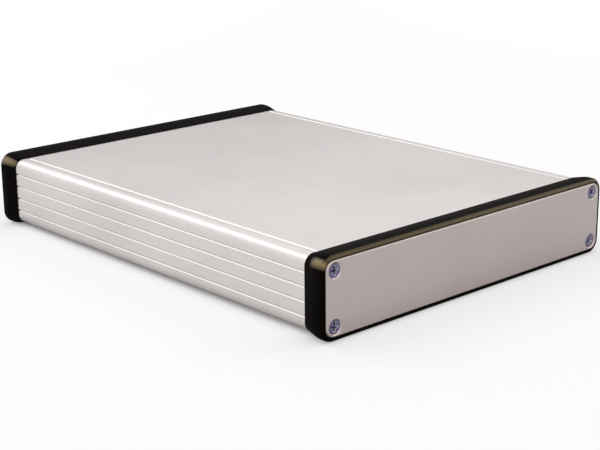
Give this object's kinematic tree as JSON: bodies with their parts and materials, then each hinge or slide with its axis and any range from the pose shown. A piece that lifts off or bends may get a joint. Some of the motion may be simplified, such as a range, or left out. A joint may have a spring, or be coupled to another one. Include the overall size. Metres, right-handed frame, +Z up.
{
  "type": "extruded aluminum enclosure",
  "caption": "Flat extruded aluminium instrument case with grooved sides, slide-in cover, flared black end bezels and screwed end panels.",
  "frame": {"origin": "centre of the footprint, on the surface that the two bezels stand on", "axes": "+X along the extrusion towards the front end, +Y across its width, +Z up towards the slide-in cover"},
  "size_m": [0.225, 0.1688, 0.0343],
  "materials": {
    "anodised_channel": "satin anodised extrusion",
    "anodised_cover": "satin anodised extrusion",
    "panel_sheet": "satin anodised sheet",
    "bezel_plastic": "satin moulded black",
    "zinc_screw": "bright zinc plate"
  },
  "bodies": {
    "body": {"channel_body": "anodised_channel"},
    "cover": {"slide_cover": "anodised_cover"},
    "front_end": {"front_bezel": "bezel_plastic", "front_panel": "panel_sheet", "front_screws": "zinc_screw"},
    "rear_end": {"rear_bezel": "bezel_plastic", "rear_panel": "panel_sheet", "rear_screws": "zinc_screw"}
  },
  "joints": [
    {"name": "front_end_off", "type": "slide", "parent": "body", "child": "front_end", "axis": [1, 0, 0], "range_m": [0, 0.24]},
    {"name": "cover_slide", "type": "slide", "parent": "body", "child": "cover", "axis": [1, 0, 0], "range_m": [0, 0.2]},
    {"name": "rear_end_off", "type": "slide", "parent": "body", "child": "rear_end", "axis": [-1, 0, 0], "range_m": [0, 0.04]}
  ],
  "couplings": [
    {"joint": "cover_slide", "follows": "front_end_off", "ratio": 0.83333}
  ]
}
